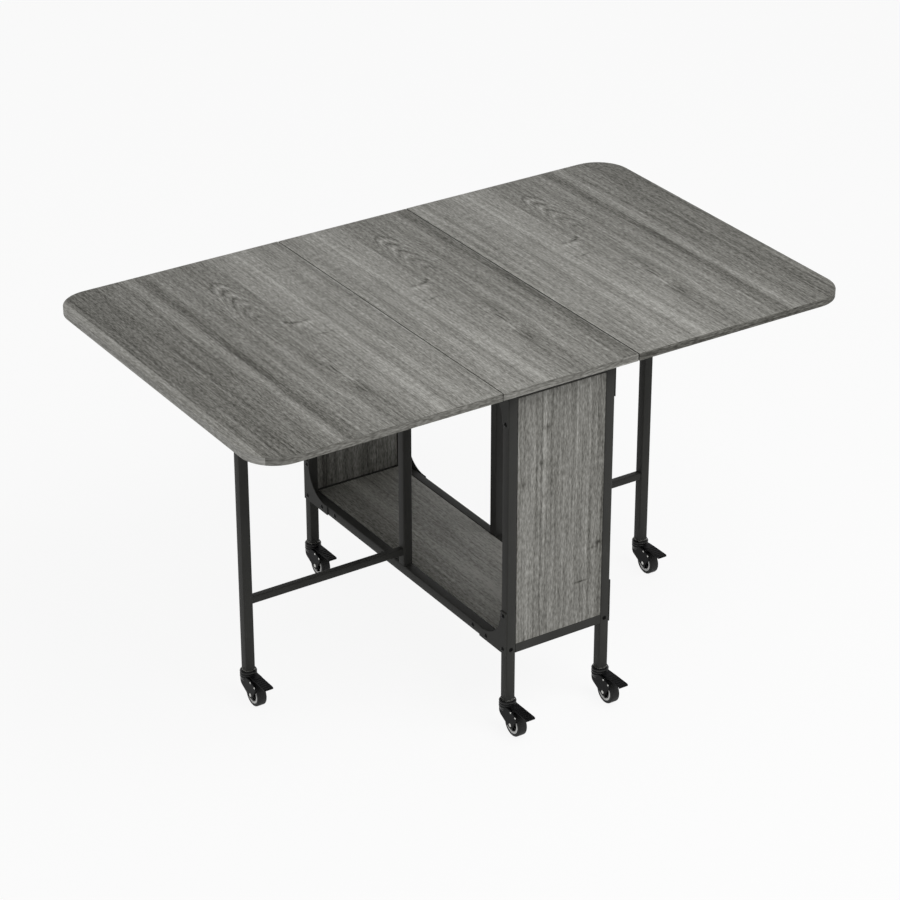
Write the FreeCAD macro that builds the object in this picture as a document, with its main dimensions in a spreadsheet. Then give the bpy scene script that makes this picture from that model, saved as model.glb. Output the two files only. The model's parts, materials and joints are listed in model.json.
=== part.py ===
import FreeCAD, Part
import math
import os
import types

import Sketcher

# Drop-leaf dining table: fixed centre board on a tube frame, two hinged leaves,
# two swinging gate legs that carry them, and six braked swivel casters.
# X runs along the length of the top, Y from front to back and Z up from the floor.

SIZES = {
    "top_length": 1300,
    "top_depth": 800,
    "table_height": 742,
    "board_thickness": 15,
    "centre_width": 298,
    "seam_gap": 2,
    "corner_radius": 70,
    "tube_width": 20,
    "tube_wall": 1.5,
    "frame_side_inset": 31,
    "frame_end_inset": 28,
    "rail_base": 168,
    "panel_thickness": 15,
    "panel_side_gap": 0.5,
    "panel_top_gap": 0.5,
    "shelf_thickness": 15,
    "shelf_gap": 0.5,
    "gusset_thickness": 2,
    "gusset_lip": 9,
    "lower_gusset_radius": 62,
    "upper_gusset_radius": 47,
    "gate_radius": 361,
    "gate_bar_width": 15,
    "lower_bar_lift": 22.5,
    "upper_bar_drop": 52,
    "pivot_gap": 0.5,
    "pivot_pin_radius": 4,
    "pivot_pin_reach": 12,
    "plug_length": 30,
    "plug_clearance": 0.1,
    "glide_height": 5,
    "glide_gap": 0.3,
    "running_clearance": 0.05,
    "hinge_inset": 150,
    "hinge_length": 60,
    "hinge_rail_gap": 4,
    "hinge_plate_thickness": 2,
    "hinge_drop": 0.3,
    "barrel_radius": 4.3,
    "barrel_gap": 0.3,
    "hinge_pin_radius": 2,
    "wheel_radius": 25,
    "wheel_width": 19,
    "wheel_trail": 29,
    "axle_radius": 3,
    "wheel_side_gap": 1,
    "wheel_clearance": 1.5,
    "cheek_wall": 3.5,
    "cheek_shoulder": 9.5,
    "boss_radius": 8,
    "nose_lead": 22,
    "nose_drop": 6.7,
    "collar_radius": 17,
    "collar_height": 22,
    "collar_rise": 8,
    "swivel_gap": 0.3,
    "flange_height": 1.5,
    "stem_radius": 4,
    "stem_depth": 17,
    "pedal_pin_radius": 1.5,
    "pedal_pin_lead": 1.5,
    "pedal_pin_lift": 4,
    "pedal_pin_cover": 1.7,
    "pedal_hook_wall": 2,
    "pedal_hook_depth": 1.5,
    "pedal_side_gap": 0.5,
    "pedal_heel_gap": 0.3,
    "pedal_lift": 1.3,
    "pedal_thickness": 2.5,
    "pedal_reach": 48,
    "pedal_lip": 4.5,
}
BARREL_SIDES = 8
COLLAR_SIDES = 20
BOSS_FLAT = 0.75
SHOULDER_TUCK = 0.25
OCTAGON_CORNER = 2 ** 0.5 - 1

doc = FreeCAD.newDocument("drop_leaf_table")
sheet = doc.addObject("Spreadsheet::Sheet", "sizes")
for row, (alias, number) in enumerate(SIZES.items(), start=1):
    sheet.set(f"A{row}", alias)
    sheet.set(f"B{row}", str(number))
    sheet.setAlias(f"B{row}", alias)
doc.recompute()


class Size:
    """A length with its present value and the sheet formula that drives it."""

    def __init__(self, value, formula):
        self.value = float(value)
        self.formula = formula

    def __add__(self, other):
        other = as_size(other)
        return Size(self.value + other.value, f"({self.formula} + {other.formula})")

    def __sub__(self, other):
        other = as_size(other)
        return Size(self.value - other.value, f"({self.formula} - {other.formula})")

    def __mul__(self, factor):
        return Size(self.value * factor, f"({self.formula} * {factor})")

    def __truediv__(self, divisor):
        return Size(self.value / divisor, f"({self.formula} / {divisor})")

    def __neg__(self):
        return self * -1


def as_size(length):
    if isinstance(length, Size):
        return length
    return Size(length, f"{length}")


size = types.SimpleNamespace(
    **{alias: Size(sheet.get(alias), f"sizes.{alias}") for alias in SIZES}
)
ZERO = as_size(0)
parts = []


def publish(feature, label):
    feature.Label = label
    parts.append(feature)
    return feature


def bind(feature, **lengths):
    for name, length in lengths.items():
        feature.setExpression(name, as_size(length).formula)


def place(feature, x=0, y=0, z=0):
    for axis, length in zip("xyz", (x, y, z)):
        feature.setExpression(f"Placement.Base.{axis}", as_size(length).formula)
    return feature


def turn(feature, axis, degrees):
    rotation = FreeCAD.Rotation(FreeCAD.Vector(*axis), degrees)
    feature.Placement = FreeCAD.Placement(FreeCAD.Vector(), rotation)


# Solids from primitives

def box(name, x_span, y_span, z_span):
    """Box between two lengths on each axis, each span a low and a high end."""
    feature = doc.addObject("Part::Box", name)
    spans = (x_span, y_span, z_span)
    for edge, (low, high) in zip(("Length", "Width", "Height"), spans):
        feature.setExpression(edge, (as_size(high) - low).formula)
    return place(feature, *(low for low, high in spans))


def centred(width):
    return (-(width / 2), width / 2)


def upright_cylinder(name, radius, base, top):
    feature = doc.addObject("Part::Cylinder", name)
    bind(feature, Radius=radius, Height=as_size(top) - base)
    return place(feature, z=base)


def lying_cylinder(name, radius, start, end, x, z):
    """Cylinder along Y, the way of a hinge pin."""
    feature = doc.addObject("Part::Cylinder", name)
    turn(feature, (1, 0, 0), -90)
    bind(feature, Radius=radius, Height=as_size(end) - start)
    return place(feature, x, start, z)


def fuse(name, shapes):
    feature = doc.addObject("Part::MultiFuse", name)
    feature.Shapes = shapes
    return feature


def cut(name, base, tool):
    feature = doc.addObject("Part::Cut", name)
    feature.Base = base
    feature.Tool = tool
    return feature


def group(name, solids):
    feature = doc.addObject("Part::Compound", name)
    feature.Links = solids
    return feature


def tube(name, axis, length, width):
    """Square tube centred on its own origin, along axis 0, 1 or 2."""
    bore = width - size.tube_wall * 2
    outer_spans = [centred(width)] * 3
    inner_spans = [centred(bore)] * 3
    outer_spans[axis] = centred(length)
    inner_spans[axis] = centred(length)
    return cut(name, box(name + "_outside", *outer_spans), box(name + "_inside", *inner_spans))


# Solids from sketches

ORIGIN_POINT = (-1, 1)


def sketch_on(body, name, role, offset=None):
    sketch = body.newObject("Sketcher::SketchObject", name)
    plane = next(item for item in body.Origin.OriginFeatures if item.Role == role)
    sketch.AttachmentSupport = [(plane, "")]
    sketch.MapMode = "FlatFace"
    if offset is not None:
        sketch.setExpression("AttachmentOffset.Base.z", offset.formula)
    return sketch


def constrain(sketch, kind, elements, length):
    index = sketch.addConstraint(Sketcher.Constraint(kind, *elements, length.value))
    sketch.setExpression(f"Constraints[{index}]", length.formula)


def locate(sketch, element, point):
    for kind, length in zip(("DistanceX", "DistanceY"), point):
        constrain(sketch, kind, (*ORIGIN_POINT, *element), as_size(length))


def polygon(sketch, points):
    corners = [FreeCAD.Vector(as_size(u).value, as_size(v).value, 0) for u, v in points]
    count = len(points)
    for index in range(count):
        sketch.addGeometry(Part.LineSegment(corners[index], corners[(index + 1) % count]))
    for index in range(count):
        following = (index + 1) % count
        sketch.addConstraint(Sketcher.Constraint("Coincident", index, 2, following, 1))
    for index, point in enumerate(points):
        locate(sketch, (index, 1), point)
    return sketch


def ring_points(radius, count):
    """Corners of a regular polygon round the origin."""
    angles = [2 * math.pi * index / count for index in range(count)]
    return [(radius * math.cos(angle), radius * math.sin(angle)) for angle in angles]


def circle(sketch, centre, radius):
    u, v = (as_size(length) for length in centre)
    middle = FreeCAD.Vector(u.value, v.value, 0)
    index = sketch.addGeometry(Part.Circle(middle, FreeCAD.Vector(0, 0, 1), radius.value))
    constrain(sketch, "Radius", (index,), radius)
    if u.value or v.value:
        locate(sketch, (index, 3), centre)
    else:
        sketch.addConstraint(Sketcher.Constraint("Coincident", index, 3, *ORIGIN_POINT))
    return sketch


def new_body(name):
    return doc.addObject("PartDesign::Body", name)


def extrude(body, kind, sketch, length, both_ways=False):
    feature = body.newObject(f"PartDesign::{kind}", f"{sketch.Name}_{kind}")
    feature.Profile = sketch
    feature.SideType = "Symmetric" if both_ways else "One side"
    bind(feature, Length=length)
    return feature


def revolve(body, sketch):
    feature = body.newObject("PartDesign::Revolution", f"{sketch.Name}_revolution")
    feature.Profile = sketch
    feature.ReferenceAxis = (sketch, ["H_Axis"])
    feature.Angle = 360
    return feature


def round_edges(body, base, radius, wanted):
    """Round those straight edges of a base feature whose middle passes a test."""
    doc.recompute()
    names = [
        f"Edge{number}"
        for number, edge in enumerate(base.Shape.Edges, start=1)
        if wanted(edge.CenterOfMass)
    ]
    feature = body.newObject("PartDesign::Fillet", f"{base.Name}_rounding")
    feature.Base = (base, names)
    bind(feature, Radius=radius)
    return feature


# Lengths that several pieces share

NEAR = 0.01
SIDES = (("left", -1), ("right", 1))
ENDS = (("front", -1), ("back", 1))

underside = size.table_height - size.board_thickness
rail_top = size.rail_base + size.tube_width
rail_middle = size.rail_base + size.tube_width / 2
top_rail_base = underside - size.tube_width
top_rail_middle = underside - size.tube_width / 2
frame_face_x = size.centre_width / 2 - size.frame_side_inset
frame_face_y = size.top_depth / 2 - size.frame_end_inset
post_x = frame_face_x - size.tube_width / 2
post_y = frame_face_y - size.tube_width / 2
clear_width = (frame_face_x - size.tube_width) * 2
clear_depth = (frame_face_y - size.tube_width) * 2
seam_x = size.centre_width / 2 + size.seam_gap / 2
leaf_width = (size.top_length - size.centre_width) / 2 - size.seam_gap
leaf_middle = size.top_length / 2 - leaf_width / 2
plug_width = size.tube_width - size.tube_wall * 2 - size.plug_clearance * 2
gate_x = post_x + size.gate_radius

# Heights in a caster, from the floor up to the foot of the tube above it

axle_z = size.wheel_radius
pedal_pin_z = size.wheel_radius * 2 + size.pedal_pin_lift
cheek_top = pedal_pin_z + size.pedal_pin_radius + size.pedal_pin_cover
fork_top = cheek_top + size.collar_rise
flange_base = fork_top + size.swivel_gap
post_base = flange_base + size.flange_height


# Boards

def make_board(name, width, depth, thickness, z):
    board = box(name, centred(width), centred(depth), (ZERO, thickness))
    return publish(place(board, -(width / 2), -(depth / 2), z), name)


def make_leaf(name, side):
    """Leaf with its two outer corners rounded in plan."""
    body = new_body(name)
    half_width = leaf_width / 2
    half_depth = size.top_depth / 2
    plan = sketch_on(body, f"{name}_plan", "XY_Plane")
    polygon(plan, [
        (-half_width, -half_depth),
        (half_width, -half_depth),
        (half_width, half_depth),
        (-half_width, half_depth),
    ])
    slab = extrude(body, "Pad", plan, size.board_thickness)
    outer = half_width.value * side
    middle = size.board_thickness.value / 2
    round_edges(
        body, slab, size.corner_radius,
        lambda point: abs(point.x - outer) < NEAR and abs(point.z - middle) < NEAR
        and abs(abs(point.y) - half_depth.value) < NEAR,
    )
    publish(place(body, leaf_middle * side, 0, underside), name)


def make_end_panel(name, end):
    width = clear_width - size.panel_side_gap * 2
    outer = frame_face_y * end
    inner = (frame_face_y - size.panel_thickness) * end
    y_span = (outer, inner) if end < 0 else (inner, outer)
    top = top_rail_base - size.panel_top_gap
    publish(box(name, centred(width), y_span, (rail_top, top)), name)


make_board("centre_top", size.centre_width, size.top_depth, size.board_thickness, underside)
for side_name, side in SIDES:
    make_leaf(f"{side_name}_leaf", side)
for end_name, end in ENDS:
    make_end_panel(f"{end_name}_panel", end)
make_board(
    "shelf",
    clear_width - size.shelf_gap * 2,
    clear_depth - size.shelf_gap * 2,
    size.shelf_thickness,
    rail_top - size.shelf_thickness,
)


# Tube frame

def make_post(name, side, end):
    post = tube(name, 2, underside - post_base, size.tube_width)
    middle = (underside + post_base) / 2
    publish(place(post, post_x * side, post_y * end, middle), name)


def make_pivot_rail(name, side, z, hole_side):
    """Side rail with the hole of the gate's pivot pin in one wall."""
    rail = tube(f"{name}_tube", 1, clear_depth, size.tube_width)
    half = size.tube_width / 2
    hole_span = (ZERO, half) if hole_side > 0 else (-half, ZERO)
    hole = upright_cylinder(
        f"{name}_hole", size.pivot_pin_radius + size.running_clearance, *hole_span
    )
    publish(place(cut(name, rail, hole), post_x * side, 0, z), name)


def make_end_rail(name, end, z):
    rail = tube(name, 0, clear_width, size.tube_width)
    publish(place(rail, 0, post_y * end, z), name)


for end_name, end in ENDS:
    make_end_rail(f"{end_name}_bottom_rail", end, rail_middle)
    make_end_rail(f"{end_name}_top_rail", end, top_rail_middle)
    for side_name, side in SIDES:
        make_post(f"{end_name}_{side_name}_post", side, end)
for side_name, side in SIDES:
    make_pivot_rail(f"{side_name}_bottom_rail", side, rail_middle, 1)
    make_pivot_rail(f"{side_name}_top_rail", side, top_rail_middle, -1)


# Corner gussets

def make_gussets(name, radius, outer_z, growth):
    """Four corner plates, each an L with a concave arc between its arms."""
    body = new_body(f"{name}_plate")
    arm = size.tube_width + radius + size.gusset_lip
    width = size.tube_width
    near_y = -frame_face_y
    inner_y = near_y + width
    inner_z = outer_z + width * growth
    outline = sketch_on(body, f"{name}_outline", "YZ_Plane")
    polygon(outline, [
        (near_y, outer_z),
        (near_y + arm, outer_z),
        (near_y + arm, inner_z),
        (inner_y, inner_z),
        (inner_y, outer_z + arm * growth),
        (near_y, outer_z + arm * growth),
    ])
    plate = extrude(body, "Pad", outline, size.gusset_thickness)
    round_edges(
        body, plate, radius,
        lambda point: abs(point.y - inner_y.value) < NEAR
        and abs(point.z - inner_z.value) < NEAR,
    )
    place(body, -(frame_face_x + size.gusset_thickness))
    right = mirrored(f"{name}_right", body, (1, 0, 0))
    pair = [body, right]
    backs = [mirrored(f"{item.Name}_back", item, (0, 1, 0)) for item in pair]
    publish(group(name, pair + backs), name)


def mirrored(name, source, normal):
    feature = doc.addObject("Part::Mirroring", name)
    feature.Source = source
    feature.Normal = FreeCAD.Vector(*normal)
    return feature


make_gussets("lower_gussets", size.lower_gusset_radius, size.rail_base, 1)
make_gussets("upper_gussets", size.upper_gusset_radius, underside, -1)


# Leaf hinges

hinge_axis_z = underside - size.barrel_radius - size.hinge_drop
plate_clear = size.barrel_radius + size.barrel_gap * 2
plate_reach = seam_x - frame_face_x - size.hinge_rail_gap
hinge_y = size.top_depth / 2 - size.hinge_inset
barrel_length = (size.hinge_length - size.barrel_gap) / 2


def sided(side, inner, outer):
    """Span between two distances from the middle plane, on one side of it."""
    return (inner, outer) if side > 0 else (-outer, -inner)


def barrel(name, start, end, x, z):
    """Folded hinge barrel along Y, eight flats round the pin."""
    feature = doc.addObject("Part::Prism", name)
    feature.Polygon = BARREL_SIDES
    turn(feature, (1, 0, 0), -90)
    bind(feature, Circumradius=size.barrel_radius, Height=end - start)
    return place(feature, x, start, z)


def hinge_plate(name, side, middle_y, toward, half):
    """Plate, tongue and barrel of one hinge half, the barrel in front or behind."""
    near = seam_x + plate_clear * toward
    far = seam_x + plate_reach * toward
    z_span = (underside - size.hinge_plate_thickness, underside)
    x_span = sided(side, near, far) if toward > 0 else sided(side, far, near)
    tongue_span = sided(side, seam_x, near) if toward > 0 else sided(side, near, seam_x)
    reach = size.hinge_length / 2
    y_span = (middle_y - reach, middle_y + reach)
    start = y_span[0] if half < 0 else y_span[1] - barrel_length
    end = start + barrel_length
    return [
        box(f"{name}_flat", x_span, y_span, z_span),
        box(f"{name}_tongue", tongue_span, (start, end), z_span),
        barrel(f"{name}_barrel", start, end, seam_x * side, hinge_axis_z),
    ]


def hinge_rod(name, side, middle_y, radius):
    """Pin, or the bore for it, from inside the front barrel to the back of the hinge."""
    start = middle_y - barrel_length / 2
    end = middle_y + size.hinge_length / 2
    return lying_cylinder(name, radius, start, end, seam_x * side, hinge_axis_z)


def hinge_centre_plate(name, side, middle_y):
    pin = hinge_rod(f"{name}_pin", side, middle_y, size.hinge_pin_radius)
    return fuse(name, [*hinge_plate(name, side, middle_y, -1, -1), pin])


def hinge_leaf_plate(name, side, middle_y):
    bore_radius = size.hinge_pin_radius + size.running_clearance
    bore = hinge_rod(f"{name}_bore", side, middle_y, bore_radius)
    return cut(name, fuse(f"{name}_blank", hinge_plate(name, side, middle_y, 1, 1)), bore)


for side_name, side in SIDES:
    centre_plates = []
    leaf_plates = []
    for end_name, end in ENDS:
        prefix = f"{end_name}_{side_name}"
        centre_plates.append(hinge_centre_plate(f"{prefix}_centre_plate", side, hinge_y * end))
        leaf_plates.append(hinge_leaf_plate(f"{prefix}_leaf_plate", side, hinge_y * end))
    for plates, name in ((centre_plates, "centre"), (leaf_plates, "leaf")):
        label = f"{side_name}_hinge_{name}_plates"
        publish(group(label, plates), label)


# Gates

pivot_base = rail_top + size.pivot_gap
pivot_top = top_rail_base - size.pivot_gap
leg_top = underside - size.glide_gap - size.glide_height
lower_bar_base = rail_top + size.lower_bar_lift
upper_bar_base = underside - size.upper_bar_drop - size.gate_bar_width


def tube_plug(name, base, top):
    return box(name, centred(plug_width), centred(plug_width), (base, top))


def make_pivot_pins(name, side):
    """Lower and upper pivot pin, each on the plug that closes the end of the post."""
    lower = fuse(f"{name}_lower", [
        tube_plug(f"{name}_lower_plug", pivot_base, pivot_base + size.plug_length),
        upright_cylinder(
            f"{name}_lower_pin", size.pivot_pin_radius,
            pivot_base - size.pivot_pin_reach, pivot_base,
        ),
    ])
    upper = fuse(f"{name}_upper", [
        tube_plug(f"{name}_upper_plug", pivot_top - size.plug_length, pivot_top),
        upright_cylinder(
            f"{name}_upper_pin", size.pivot_pin_radius,
            pivot_top, pivot_top + size.pivot_pin_reach,
        ),
    ])
    publish(place(group(name, [lower, upper]), post_x * side), name)


def make_gate_bar(name, side, base):
    bar = tube(name, 0, size.gate_radius - size.tube_width, size.gate_bar_width)
    middle_x = (post_x + size.gate_radius / 2) * side
    publish(place(bar, middle_x, 0, base + size.gate_bar_width / 2), name)


def make_gate_glide(name, side):
    """Plastic cap on the leg, with the plug that holds it in the tube."""
    cap = box(
        f"{name}_cap", centred(size.tube_width), centred(size.tube_width),
        (leg_top, leg_top + size.glide_height),
    )
    plug = tube_plug(f"{name}_plug", leg_top - size.plug_length, leg_top)
    publish(place(fuse(name, [cap, plug]), gate_x * side), name)


for side_name, side in SIDES:
    prefix = f"{side_name}_gate"
    post = tube(f"{prefix}_pivot_post", 2, pivot_top - pivot_base, size.tube_width)
    publish(place(post, post_x * side, 0, (pivot_top + pivot_base) / 2), f"{prefix}_pivot_post")
    leg = tube(f"{prefix}_leg", 2, leg_top - post_base, size.tube_width)
    publish(place(leg, gate_x * side, 0, (leg_top + post_base) / 2), f"{prefix}_leg")
    make_gate_bar(f"{prefix}_lower_bar", side, lower_bar_base)
    make_gate_bar(f"{prefix}_upper_bar", side, upper_bar_base)
    make_pivot_pins(f"{prefix}_pivot_pins", side)
    make_gate_glide(f"{prefix}_glide", side)


# Casters, each built round the axis of its stem with the wheel trailing along Y

collar_base = fork_top - size.collar_height
slot_width = size.wheel_width + size.wheel_side_gap * 2
cheek_width = slot_width + size.cheek_wall * 2
pedal_back = size.collar_radius + size.wheel_clearance
pedal_pin_y = size.wheel_trail + size.pedal_pin_lead
axle_point = (size.wheel_trail, axle_z)
pedal_pin_point = (pedal_pin_y, pedal_pin_z)


def caster_stem(name, x, y):
    """Swivel pin, square flange under the tube and the plug inside it."""
    flange_span = centred(size.tube_width)
    solids = [
        upright_cylinder(
            f"{name}_pin", size.stem_radius, fork_top - size.stem_depth, flange_base
        ),
        box(f"{name}_flange", flange_span, flange_span, (flange_base, post_base)),
        tube_plug(f"{name}_plug", post_base, post_base + size.plug_length),
    ]
    return place(fuse(name, solids), x, y)


def aim(feature, x, y, z=0):
    """Set a caster's piece down with its wheel trailing toward the front."""
    turn(feature, (0, 0, 1), 180)
    return place(feature, x, y, z)


def make_fork(name, x, y):
    """Moulded fork: round swivel collar, two cheeks, wheel axle and pedal pin."""
    body = new_body(name)
    boss = size.boss_radius
    nose = size.wheel_trail + size.nose_lead
    nose_top = cheek_top - size.nose_drop
    arm = sketch_on(body, f"{name}_arm", "YZ_Plane")
    polygon(arm, [
        (-size.cheek_shoulder, cheek_top),
        (-size.cheek_shoulder, collar_base),
        (-(size.cheek_shoulder * SHOULDER_TUCK), collar_base - boss),
        (size.wheel_trail - boss * BOSS_FLAT, axle_z - boss * BOSS_FLAT),
        (size.wheel_trail, axle_z - boss),
        (size.wheel_trail + boss * BOSS_FLAT, axle_z - boss * BOSS_FLAT),
        (size.wheel_trail + boss, axle_z),
        (nose, nose_top - boss),
        (nose, nose_top),
        (size.wheel_trail, cheek_top),
    ])
    extrude(body, "Pad", arm, cheek_width, both_ways=True)
    collar = sketch_on(body, f"{name}_collar", "XY_Plane", collar_base)
    polygon(collar, ring_points(size.collar_radius, COLLAR_SIDES))
    extrude(body, "Pad", collar, size.collar_height)
    well = size.wheel_radius + size.wheel_clearance
    slot_back = size.wheel_trail - well
    slot_front = size.wheel_trail + well
    slot_low = axle_z - well
    slot = sketch_on(body, f"{name}_slot", "YZ_Plane")
    polygon(slot, [
        (slot_back, slot_low),
        (slot_front, slot_low),
        (slot_front, fork_top),
        (pedal_back, fork_top),
        (pedal_back, axle_z + well),
        (slot_back, axle_z + well * OCTAGON_CORNER),
    ])
    extrude(body, "Pocket", slot, slot_width, both_ways=True)
    bore = sketch_on(body, f"{name}_bore", "XY_Plane", fork_top)
    circle(bore, (0, 0), size.stem_radius + size.running_clearance)
    extrude(body, "Pocket", bore, size.stem_depth + size.swivel_gap)
    for pin, point, radius in (
        ("axle", axle_point, size.axle_radius),
        ("pedal_pin", pedal_pin_point, size.pedal_pin_radius),
    ):
        end = circle(sketch_on(body, f"{name}_{pin}", "YZ_Plane"), point, radius)
        extrude(body, "Pad", end, cheek_width, both_ways=True)
    publish(aim(body, x, y), name)


def make_wheel(name, x, y):
    """Wheel turned about its axle from half of its section."""
    body = new_body(name)
    half = size.wheel_width / 2
    bore = size.axle_radius + size.running_clearance
    section = sketch_on(body, f"{name}_section", "XY_Plane")
    polygon(section, [
        (-half, bore),
        (half, bore),
        (half, size.wheel_radius),
        (-half, size.wheel_radius),
    ])
    revolve(body, section)
    publish(aim(body, x, y - size.wheel_trail, axle_z), name)


def make_pedal(name, x, y):
    """Brake pedal with a lip at its tip and a hook that clips on its pin."""
    body = new_body(name)
    plate_base = cheek_top + size.pedal_lift
    plate_top = plate_base + size.pedal_thickness
    heel = pedal_back + size.pedal_heel_gap
    tip = pedal_pin_y + size.pedal_reach
    lip_back = tip - size.pedal_thickness
    lip_base = plate_top - size.pedal_lip
    seat = size.pedal_pin_radius + size.running_clearance
    hook = seat + size.pedal_hook_wall
    hook_base = pedal_pin_z - size.pedal_hook_depth
    side_view = sketch_on(body, f"{name}_side", "YZ_Plane")
    polygon(side_view, [
        (heel, plate_top),
        (tip, plate_top),
        (tip, lip_base),
        (lip_back, lip_base),
        (lip_back, plate_base),
        (pedal_pin_y + hook, plate_base),
        (pedal_pin_y + hook, hook_base),
        (pedal_pin_y + seat, hook_base),
        (pedal_pin_y + seat, pedal_pin_z + seat),
        (pedal_pin_y - seat, pedal_pin_z + seat),
        (pedal_pin_y - seat, hook_base),
        (pedal_pin_y - hook, hook_base),
        (pedal_pin_y - hook, plate_base),
        (heel, plate_base),
    ])
    extrude(body, "Pad", side_view, slot_width - size.pedal_side_gap * 2, both_ways=True)
    publish(aim(body, x, y), name)


def make_caster(prefix, x, y):
    make_fork(f"{prefix}_fork", x, y)
    make_wheel(f"{prefix}_wheel", x, y)
    make_pedal(f"{prefix}_brake_pedal", x, y)


frame_stems = []
for end_name, end in ENDS:
    for side_name, side in SIDES:
        corner = f"{end_name}_{side_name}"
        frame_stems.append(caster_stem(f"{corner}_stem", post_x * side, post_y * end))
        make_caster(f"{corner}_caster", post_x * side, post_y * end)
publish(group("frame_caster_stems", frame_stems), "frame_caster_stems")
for side_name, side in SIDES:
    prefix = f"{side_name}_gate_caster"
    publish(caster_stem(f"{prefix}_stem", gate_x * side, ZERO), f"{prefix}_stem")
    make_caster(prefix, gate_x * side, ZERO)


# Check and export

doc.recompute()
for feature in doc.Objects:
    if "Invalid" in feature.State or "Error" in feature.State:
        raise RuntimeError(f"{feature.Label} did not build")
os.makedirs("parts", exist_ok=True)
for feature in parts:
    shape = feature.Shape
    if shape.isNull() or not shape.isValid():
        raise RuntimeError(f"{feature.Label} has no sound shape")
    shape.exportStep(f"parts/{feature.Label}.step")
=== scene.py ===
import json
import math

import bmesh
import bpy
from mathutils import Matrix, Vector


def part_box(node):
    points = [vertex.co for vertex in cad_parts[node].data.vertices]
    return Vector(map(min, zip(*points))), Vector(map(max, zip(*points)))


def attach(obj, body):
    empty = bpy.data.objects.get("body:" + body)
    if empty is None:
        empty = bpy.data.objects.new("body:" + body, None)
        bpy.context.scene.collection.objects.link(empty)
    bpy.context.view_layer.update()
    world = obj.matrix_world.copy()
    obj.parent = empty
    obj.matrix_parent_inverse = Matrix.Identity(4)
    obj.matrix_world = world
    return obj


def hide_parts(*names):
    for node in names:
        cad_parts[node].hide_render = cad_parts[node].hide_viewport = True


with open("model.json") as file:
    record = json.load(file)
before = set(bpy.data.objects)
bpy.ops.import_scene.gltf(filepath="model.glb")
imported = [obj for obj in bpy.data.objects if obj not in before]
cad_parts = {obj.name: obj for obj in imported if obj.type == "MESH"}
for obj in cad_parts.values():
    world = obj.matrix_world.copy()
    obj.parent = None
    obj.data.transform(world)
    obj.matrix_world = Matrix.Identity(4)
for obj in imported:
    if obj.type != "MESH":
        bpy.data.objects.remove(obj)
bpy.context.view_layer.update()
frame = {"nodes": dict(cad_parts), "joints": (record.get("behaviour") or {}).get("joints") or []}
nodes = frame["nodes"]
joints = {joint["name"]: Vector(joint["pos_m"]) for joint in frame["joints"]}
scene = bpy.context.scene
MM = 0.001
Y_AXIS = 1
Z_AXIS = 2
# The two sides along X and the two ends along Y, with the sign of each
SIDES = {"left": -1, "right": 1}
ENDS = {"front": -1, "back": 1}


# The photograph's view

CAMERA_PLACE = (-2.88844, -4.43753, 3.20111)
CAMERA_TILT = math.radians(62.193)
CAMERA_TURN = math.radians(-33.028)
LENS = 122.357
SENSOR = 36

camera_data = bpy.data.cameras.new("camera")
camera_data.lens = LENS
camera_data.sensor_width = SENSOR
camera = bpy.data.objects.new("camera", camera_data)
camera.location = CAMERA_PLACE
camera.rotation_euler = (CAMERA_TILT, 0, CAMERA_TURN)
scene.collection.objects.link(camera)
scene.camera = camera
scene.view_settings.view_transform = "Standard"


# Material graphs

def linear(*levels):
    """Colour of three 8-bit display levels, in the renderer's linear light."""
    shares = [level / 255 for level in levels]
    return [s / 12.92 if s <= 0.04045 else ((s + 0.055) / 1.055) ** 2.4 for s in shares] + [1]


class Field:
    """A value that varies over a surface, with arithmetic done by nodes."""

    def __init__(self, graph, socket):
        self.graph = graph
        self.socket = socket

    def __add__(self, other):
        return self.graph.math("ADD", self, other)

    def __sub__(self, other):
        return self.graph.math("SUBTRACT", self, other)

    def __mul__(self, other):
        return self.graph.math("MULTIPLY", self, other)

    def __neg__(self):
        return self * -1

    def sine(self):
        return self.graph.math("SINE", self)

    def size(self):
        return self.graph.math("ABSOLUTE", self)

    def over(self, limit):
        return self.graph.math("GREATER_THAN", self, limit)

    def mix(self, low, high):
        """low where this is 0, high where it is 1."""
        return low * (-self + 1) + self * high

    def hill(self, centre, width):
        """1 at the centre, falling to nothing over about two widths."""
        offset = (self - centre) * (1 / width)
        return self.graph.math("EXPONENT", -(offset * offset))

    def step(self, low, high):
        """0 at low, 1 at high, smooth between."""
        node = self.graph.node("ShaderNodeMapRange", interpolation_type="SMOOTHSTEP")
        self.graph.feed(node.inputs["Value"], self)
        node.inputs["From Min"].default_value = low
        node.inputs["From Max"].default_value = high
        return Field(self.graph, node.outputs["Result"])


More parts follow.
